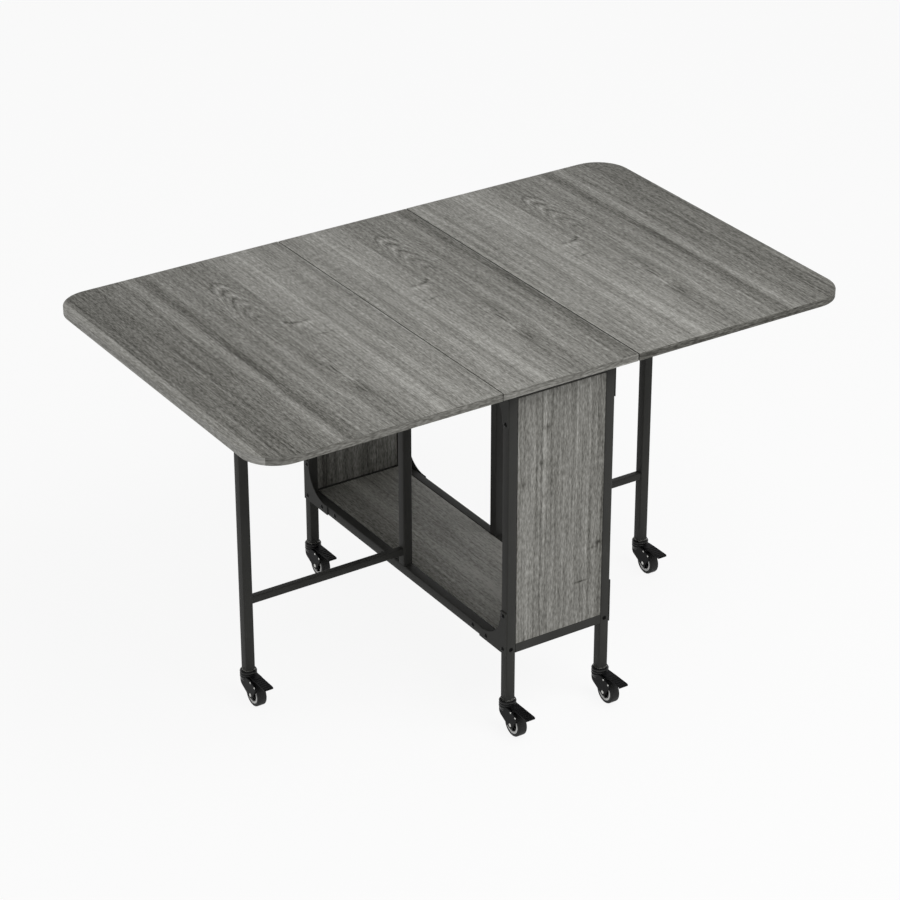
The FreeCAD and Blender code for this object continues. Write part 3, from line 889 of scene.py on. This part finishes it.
TRAIL = swivel_point.y - axle_point.y
AXLE_Z = axle_point.z
AXLE_RADIUS = 3 * MM
PIN_TRAIL = swivel_point.y - pedal_pin_point.y
PIN_Z = pedal_pin_point.z
PIN_RADIUS = 1.5 * MM
WHEEL_RADIUS = (wheel_high.z - wheel_low.z) / 2
WHEEL_HALF = (wheel_high.x - wheel_low.x) / 2
WELL = WHEEL_RADIUS + 1.5 * MM
SIDEWAYS = Matrix(((0, 0, 1, 0), (-1, 0, 0, 0), (0, 1, 0, 0), (0, 0, 0, 1)))
LYING = Matrix.Translation((0, -TRAIL, AXLE_Z)) @ Matrix.Rotation(math.pi / 2, 4, "Y")

# Fork: a cheek is a belt round its top back corner, shoulder, boss, nose and top front corner

FORK_TOP = fork_high.z
BOSS = AXLE_Z - fork_low.z
CHEEK_OUT = 14 * MM
CHEEK_IN = 10.5 * MM
CHEEK_TOP = FORK_TOP - 8.1 * MM
CORNER = 1 * MM
SHOULDER = (2.4 * MM, AXLE_Z + 17.5 * MM, 11.4 * MM)
NOSE = (TRAIL + 16.8 * MM, AXLE_Z + 21.5 * MM, 5 * MM)
CHEEK_CIRCLES = (
    (SHOULDER[0] - SHOULDER[2] + CORNER, CHEEK_TOP - CORNER, CORNER),
    SHOULDER,
    (TRAIL, AXLE_Z, BOSS),
    NOSE,
    (TRAIL - CORNER, CHEEK_TOP - CORNER, CORNER),
)
FORK_EDGE = 0.9 * MM
HOOD_LAP = 0.4 * MM
HOOD_SHRINK = 0.3 * MM
# Arcs of the hood: first and last angle in degrees, and steps
HOOD_BACK = (180, 230, 8)
HOOD_WELL = (166, 114, 12)


def hood_outline():
    """Web over the back of the wheel, its inner side an arc round the axle."""
    back = arc(SHOULDER[:2], SHOULDER[2] - HOOD_SHRINK, *HOOD_BACK)
    well = arc((TRAIL, AXLE_Z), WELL, *HOOD_WELL)
    return back + well + [(well[-1][0], CHEEK_TOP), (back[0][0], CHEEK_TOP)]


def fork_mesh():
    bm = bmesh.new()
    cheek = belt(CHEEK_CIRCLES)
    for side in (-1, 1):
        prism(bm, cheek, (CHEEK_IN * side, CHEEK_OUT * side), SIDEWAYS)
    prism(bm, hood_outline(), (-CHEEK_IN - HOOD_LAP, CHEEK_IN + HOOD_LAP), SIDEWAYS)
    return to_mesh("caster_fork", bm, black_nylon)


COLLAR_RADIUS = (fork_high.x - fork_low.x) / 2
COLLAR_FOOT = FORK_TOP - 22 * MM
COLLAR_SEGMENTS = 64
FOOT_ROUNDING = 3 * MM
FOOT_STEPS = 6
RIB_TOP = FORK_TOP - 0.3 * MM
RIB_FOOT = FORK_TOP - 16 * MM
RIB_DEPTH = 0.7 * MM
RIB_PITCH = 5.4 * MM
RIB_STEPS = 36
RIB_GRAIN = (500, 500, 500)
STEM_BORE = 4.1 * MM
BORE_FOOT = FORK_TOP - 17.2 * MM


def highlit_ribbed_nylon(name):
    """Black nylon, painted lighter along the crests of the collar's ribs as a highlight."""
    graph = Graph(name)
    pits = graph.texture(RIB_GRAIN)
    drop = -(graph.axes()[Z_AXIS] - RIB_TOP)
    phase = drop * (2 * math.pi / RIB_PITCH) - math.pi / 2
    # Painted highlight along the rib crests
    crest_highlight = phase.sine().step(0.4, 1.0)
    graph.colour(crest_highlight * 0.7 + pits * 0.3, [(0.1, linear(8, 8, 9)), (0.9, linear(72, 72, 71))])
    graph.gloss(pits * 0.1 + 0.24, specular=0.16)
    graph.relief(pits, PIT_DEPTH, strength=0.5)
    return graph.material


def collar_mesh():
    """Swivel collar with three ribs round it and a rounded foot."""
    ribs = []
    for step in range(RIB_STEPS + 1):
        drop = (RIB_TOP - RIB_FOOT) * step / RIB_STEPS
        wave = math.cos(2 * math.pi * drop / RIB_PITCH)
        ribs.append((COLLAR_RADIUS - RIB_DEPTH * (1 + wave), RIB_TOP - drop))
    waist = COLLAR_RADIUS - RIB_DEPTH * 2
    foot_centre = (waist - FOOT_ROUNDING, COLLAR_FOOT + FOOT_ROUNDING)
    foot = arc(foot_centre, FOOT_ROUNDING, 0, -90, FOOT_STEPS)
    hollow = waist / 2
    inside = [
        (hollow, COLLAR_FOOT), (hollow, BORE_FOOT),
        (STEM_BORE, BORE_FOOT), (STEM_BORE, RIB_TOP),
    ]
    bm = bmesh.new()
    lathe(bm, ribs + foot + inside, COLLAR_SEGMENTS, closed=True)
    return to_mesh("caster_collar", bm, highlit_ribbed_nylon("highlit_ribbed_nylon"))


WASHER_RADIUS = 12.8 * MM
WASHER_SLOPE = 3 * MM
WASHER_BRIM = 0.5 * MM
WASHER_FOOT = FORK_TOP + 0.1 * MM
WASHER_TOP = FORK_TOP + 1.75 * MM
WASHER_SEGMENTS = 48


def washer_mesh():
    """Pressed washer between the tube and the collar."""
    bm = bmesh.new()
    lathe(bm, rounded([
        (STEM_BORE, WASHER_FOOT, 0),
        (WASHER_RADIUS, WASHER_FOOT, WASHER_BRIM / 2),
        (WASHER_RADIUS, WASHER_TOP - WASHER_BRIM, WASHER_BRIM / 2),
        (WASHER_RADIUS - WASHER_SLOPE, WASHER_TOP, WASHER_BRIM),
        (STEM_BORE, WASHER_TOP, 0),
    ]), WASHER_SEGMENTS, closed=True)
    return to_mesh("caster_washer", bm, dull_zinc)


# Wheel: tyre, pale rim and black hub

RIM_RADIUS = 18.7 * MM
RIM_INNER = 14.6 * MM
RIM_LIP = 1 * MM
RIM_DISH = 0.5 * MM
RIM_FACE = WHEEL_HALF - 0.15 * MM
RIM_EDGE = 0.2 * MM
RIM_STEPS = 3
RIM_SEGMENTS = 72
TYRE_SHOULDER = 2.6 * MM
TYRE_LIP = 0.4 * MM
TYRE_STEPS = 6
TYRE_SEGMENTS = 96
WEB_HALF = 5 * MM
WEB_FACE = 5.4 * MM
HUB_RADIUS = 7.2 * MM
HUB_FACE = WHEEL_HALF - 0.2 * MM
HUB_ROOT = 0.3 * MM
HUB_EDGE = 0.6 * MM
HUB_STEPS = 3
HUB_SEGMENTS = 48
AXLE_BORE = 3.1 * MM
SPOKES = 6
SPOKE_HALF = 1.3 * MM
SPOKE_LAP = 1 * MM
SPOKE_FACE = WHEEL_HALF - 1 * MM
SEAT_LAP = 0.1 * MM


def turned_both_sides(bm, profile, segments):
    """A closed profile turned about the axle on both sides of the wheel."""
    for side in (-1, 1):
        lathe(bm, [(radius, x * side) for radius, x in profile], segments, LYING, closed=True)


def tyre_mesh():
    inner = RIM_RADIUS - SEAT_LAP
    bm = bmesh.new()
    lathe(bm, rounded([
        (inner, -WHEEL_HALF, TYRE_LIP),
        (WHEEL_RADIUS, -WHEEL_HALF, TYRE_SHOULDER),
        (WHEEL_RADIUS, WHEEL_HALF, TYRE_SHOULDER),
        (inner, WHEEL_HALF, TYRE_LIP),
    ], TYRE_STEPS), TYRE_SEGMENTS, LYING, closed=True)
    return to_mesh("caster_tyre", bm, tyre_rubber)


def rim_mesh():
    """Pale rim on each side, dished between two raised lips."""
    dish = RIM_FACE - RIM_DISH
    bm = bmesh.new()
    turned_both_sides(bm, rounded([
        (RIM_RADIUS, WEB_HALF, 0),
        (RIM_RADIUS, RIM_FACE, RIM_EDGE),
        (RIM_RADIUS - RIM_LIP, RIM_FACE, RIM_EDGE),
        (RIM_RADIUS - RIM_LIP - RIM_DISH, dish, RIM_EDGE),
        (RIM_INNER + RIM_LIP + RIM_DISH, dish, RIM_EDGE),
        (RIM_INNER + RIM_LIP, RIM_FACE, RIM_EDGE),
        (RIM_INNER, RIM_FACE, RIM_EDGE),
        (RIM_INNER, WEB_HALF, 0),
    ], RIM_STEPS), RIM_SEGMENTS)
    return to_mesh("caster_rim", bm, rim_plastic)


def hub_mesh():
    """Black hub with a web and short spokes out to the rim."""
    outer = RIM_INNER + SEAT_LAP
    bm = bmesh.new()
    turned_both_sides(bm, rounded([
        (AXLE_BORE, WEB_HALF, 0),
        (outer, WEB_HALF, 0),
        (outer, WEB_FACE, 0),
        (HUB_RADIUS, WEB_FACE, HUB_ROOT),
        (HUB_RADIUS, HUB_FACE, HUB_EDGE),
        (AXLE_BORE, HUB_FACE, 0),
    ], HUB_STEPS), HUB_SEGMENTS)
    web = [
        (RIM_RADIUS, -WEB_HALF), (RIM_RADIUS, WEB_HALF),
        (AXLE_BORE, WEB_HALF), (AXLE_BORE, -WEB_HALF),
    ]
    lathe(bm, web, HUB_SEGMENTS, LYING, closed=True)
    inner = HUB_RADIUS - SPOKE_LAP
    spoke = [(inner, -SPOKE_HALF), (outer, -SPOKE_HALF), (outer, SPOKE_HALF), (inner, SPOKE_HALF)]
    for index in range(SPOKES):
        spin = LYING @ Matrix.Rotation(2 * math.pi * index / SPOKES, 4, "Z")
        for side in (-1, 1):
            prism(bm, spoke, (WEB_HALF * side, SPOKE_FACE * side), spin)
    return to_mesh("caster_hub", bm, black_nylon)


# Brake pedal

PEDAL_HALF = (pedal_high.x - pedal_low.x) / 2
PEDAL_TOP = pedal_high.z
PEDAL_TIP = swivel_point.y - pedal_low.y
PEDAL_HEEL = swivel_point.y - pedal_high.y
PEDAL_PLATE = 2.5 * MM
PEDAL_LIP = 4.4 * MM
PEDAL_EDGE = 0.4 * MM
HOOK_BASE = pedal_low.z
HOOK_SEAT = PIN_RADIUS + 0.1 * MM
HOOK_WALL = 1.9 * MM
RIDGES = 6
RIDGE_PITCH = 7 * MM
RIDGE_HALF = 1.5 * MM
RIDGE_CREST = 1 * MM
RIDGE_HEIGHT = 0.75 * MM
RIDGE_END = 1 * MM
RIDGE_EDGE = 0.4 * MM
FIRST_RIDGE = PEDAL_TIP - 42.5 * MM
SIDE_RIM = 1.3 * MM
SIDE_RIM_HEIGHT = 0.5 * MM
SUNK = 0.2 * MM


def pedal_outline():
    """Plate with a lip at its tip."""
    foot = PEDAL_TOP - PEDAL_PLATE
    lip = PEDAL_TOP - PEDAL_LIP
    lip_back = PEDAL_TIP - PEDAL_PLATE
    broad, soft, fine = 1.6 * MM, 0.8 * MM, 0.2 * MM
    return rounded([
        (PEDAL_HEEL, foot, fine),
        (PEDAL_HEEL, PEDAL_TOP, broad),
        (PEDAL_TIP, PEDAL_TOP, broad),
        (PEDAL_TIP, lip, soft),
        (lip_back, lip, soft),
        (lip_back, foot, soft),
    ])


def pedal_hook(bm):
    """Two jaws under the plate that clip over the pedal's pin, and the bridge between them."""
    width = (-PEDAL_HALF, PEDAL_HALF)
    top = PEDAL_TOP - PEDAL_PLATE + SUNK
    for side in (-1, 1):
        inner = HOOK_SEAT * side - PIN_TRAIL
        block(bm, width, (inner, inner + HOOK_WALL * side), (HOOK_BASE, top))
    block(bm, width, (-HOOK_SEAT - PIN_TRAIL, HOOK_SEAT - PIN_TRAIL), (PIN_Z + HOOK_SEAT, top))


def pedal_mesh():
    """Brake pedal with tread ridges between two raised sides."""
    sunk = PEDAL_TOP - SUNK
    crest = PEDAL_TOP + RIDGE_HEIGHT
    bm = bmesh.new()
    prism(bm, pedal_outline(), (-PEDAL_HALF, PEDAL_HALF), SIDEWAYS)
    pedal_hook(bm)
    for index in range(RIDGES):
        middle = FIRST_RIDGE + index * RIDGE_PITCH
        ridge = rounded([
            (middle - RIDGE_HALF, sunk, 0),
            (middle - RIDGE_CREST, crest, RIDGE_EDGE),
            (middle + RIDGE_CREST, crest, RIDGE_EDGE),
            (middle + RIDGE_HALF, sunk, 0),
        ])
        prism(bm, ridge, (-PEDAL_HALF + RIDGE_END, PEDAL_HALF - RIDGE_END), SIDEWAYS)
    rim_top = PEDAL_TOP + SIDE_RIM_HEIGHT
    first = FIRST_RIDGE - RIDGE_HALF * 2
    last = PEDAL_TIP - RIDGE_HALF
    rim = [(first, sunk), (first + RIDGE_END, rim_top), (last - RIDGE_END, rim_top), (last, sunk)]
    for side in (-1, 1):
        outer = (PEDAL_HALF - SUNK) * side
        prism(bm, rim, (outer - SIDE_RIM * side, outer), SIDEWAYS)
    return to_mesh("caster_pedal", bm, black_nylon)


# Rivet heads on the cheeks: distance behind the stem, height, radius, rise of the dome

RIVETS = (
    (PIN_TRAIL, PIN_Z - 0.8 * MM, 2.1 * MM, 0.9 * MM),
    (NOSE[0] + 0.2 * MM, NOSE[1] + 2.7 * MM, 2.1 * MM, 0.9 * MM),
    (TRAIL, AXLE_Z, 3.6 * MM, 0.8 * MM),
)
RIVET_SEGMENTS = 24


def rivets_mesh():
    """Bright rivet heads on both cheeks and the peened ends of the axle."""
    bm = bmesh.new()
    for trail, height, radius, rise in RIVETS:
        profile = [(radius, -SUNK)] + dome(radius, rise)
        for side in (-1, 1):
            turn = Matrix.Rotation(math.pi / 2 * side, 4, "Y")
            matrix = Matrix.Translation((CHEEK_OUT * side, -trail, height)) @ turn
            lathe(bm, profile, RIVET_SEGMENTS, matrix)
    return to_mesh("caster_rivets", bm, zinc)


def axle_mesh():
    """Wheel axle and pedal pin across the fork."""
    bm = bmesh.new()
    for trail, height, radius in ((TRAIL, AXLE_Z, AXLE_RADIUS), (PIN_TRAIL, PIN_Z, PIN_RADIUS)):
        matrix = Matrix.Translation((0, -trail, height)) @ Matrix.Rotation(math.pi / 2, 4, "Y")
        rod = [(0, -CHEEK_OUT), (radius, -CHEEK_OUT), (radius, CHEEK_OUT), (0, CHEEK_OUT)]
        lathe(bm, rod, ROD_SEGMENTS, matrix)
    return to_mesh("caster_axle", bm, zinc)


# Each piece of a caster: mesh, motion that it rides on, slot, edge width, node that it replaces

CASTER_PIECES = {
    "fork": (fork_mesh(), "swivel", "black_nylon", FORK_EDGE, "fork"),
    "collar": (collar_mesh(), "swivel", "black_nylon", 0, None),
    "rivets": (rivets_mesh(), "swivel", "zinc_steel", 0, None),
    "axle": (axle_mesh(), "swivel", "zinc_steel", 0, None),
    "tyre": (tyre_mesh(), "wheel", "wheel_rubber", 0, "wheel"),
    "rim": (rim_mesh(), "wheel", "wheel_rubber", 0, None),
    "hub": (hub_mesh(), "wheel", "black_nylon", PIN_EDGE, None),
    "pedal": (pedal_mesh(), "pedal", "black_nylon", PEDAL_EDGE, "brake_pedal"),
}
washer = washer_mesh()


def caster(prefix, carrier):
    swivel = joints[f"{prefix}_swivel"]
    matrix = Matrix.Translation((swivel.x, swivel.y, 0))
    for part, (mesh, motion, slot, width, node) in CASTER_PIECES.items():
        name = f"{prefix}_{part}_detail"
        piece = add_piece(name, mesh.copy(), f"{prefix}_{motion}", matrix)
        if width:
            soften(piece, width)
        if node:
            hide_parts(f"{prefix}_{node}")
    add_piece(f"{prefix}_washer", washer.copy(), carrier, matrix)


for side_name in SIDES:
    for end_name in ENDS:
        caster(f"{end_name}_{side_name}_caster", "frame")
    caster(f"{side_name}_gate_caster", f"{side_name}_gate")


# Pale floor, soft studio light and a white surround

FLOOR_REACH = 30
FLOOR_DROP = 0.4 * MM
FLOOR_TONE = 0.82
FLOOR_GLOW = 0.9
ROOM_LIGHT = 0.5
KEY_POWER = 76
KEY_WIDTH = 2.4
KEY_PLACE = Vector((0.7, -2.1, 3.4))
KEY_TARGET = Vector((0, 0, 0.45))


def background_share(tree):
    """1 for rays that should see the plain white surround."""
    path = tree.nodes.new("ShaderNodeLightPath")
    total = path.outputs["Is Camera Ray"]
    for name in ("Is Glossy Ray", "Is Transmission Ray"):
        node = tree.nodes.new("ShaderNodeMath")
        node.operation = "MAXIMUM"
        tree.links.new(total, node.inputs[0])
        tree.links.new(path.outputs[name], node.inputs[1])
        total = node.outputs[0]
    return total


def floor_material():
    """Pale floor that takes the shadow and glows white towards the camera."""
    material = bpy.data.materials.new("pale_floor")
    material.use_nodes = True
    tree = material.node_tree
    tree.nodes.clear()
    output = tree.nodes.new("ShaderNodeOutputMaterial")
    diffuse = tree.nodes.new("ShaderNodeBsdfDiffuse")
    diffuse.inputs["Color"].default_value = (FLOOR_TONE, FLOOR_TONE, FLOOR_TONE, 1)
    glow = tree.nodes.new("ShaderNodeEmission")
    glow.inputs["Color"].default_value = (1, 1, 1, 1)
    glow.inputs["Strength"].default_value = 1
    share = tree.nodes.new("ShaderNodeMath")
    share.operation = "MULTIPLY"
    share.inputs[1].default_value = FLOOR_GLOW
    mix = tree.nodes.new("ShaderNodeMixShader")
    tree.links.new(background_share(tree), share.inputs[0])
    tree.links.new(share.outputs[0], mix.inputs[0])
    tree.links.new(diffuse.outputs[0], mix.inputs[1])
    tree.links.new(glow.outputs[0], mix.inputs[2])
    tree.links.new(mix.outputs[0], output.inputs["Surface"])
    return material


floor_bm = bmesh.new()
floor_corners = [(FLOOR_REACH * u, FLOOR_REACH * v) for u, v in QUARTERS]
floor_bm.faces.new(add_ring(floor_bm, floor_corners, -FLOOR_DROP))
floor = bpy.data.objects.new("floor", to_mesh("floor", floor_bm, floor_material()))
scene.collection.objects.link(floor)

world = bpy.data.worlds.new("surround")
world.use_nodes = True
scene.world = world
sky = world.node_tree.nodes["Background"]
sky.inputs["Color"].default_value = (1, 1, 1, 1)
level = world.node_tree.nodes.new("ShaderNodeMapRange")
level.inputs["To Min"].default_value = ROOM_LIGHT
level.inputs["To Max"].default_value = 1
world.node_tree.links.new(background_share(world.node_tree), level.inputs["Value"])
world.node_tree.links.new(level.outputs["Result"], sky.inputs["Strength"])

key_data = bpy.data.lights.new("key", "AREA")
key_data.energy = KEY_POWER
key_data.shape = "SQUARE"
key_data.size = KEY_WIDTH
key = bpy.data.objects.new("key", key_data)
key.location = KEY_PLACE
key.rotation_euler = (KEY_TARGET - KEY_PLACE).to_track_quat("-Z", "Y").to_euler()
scene.collection.objects.link(key)
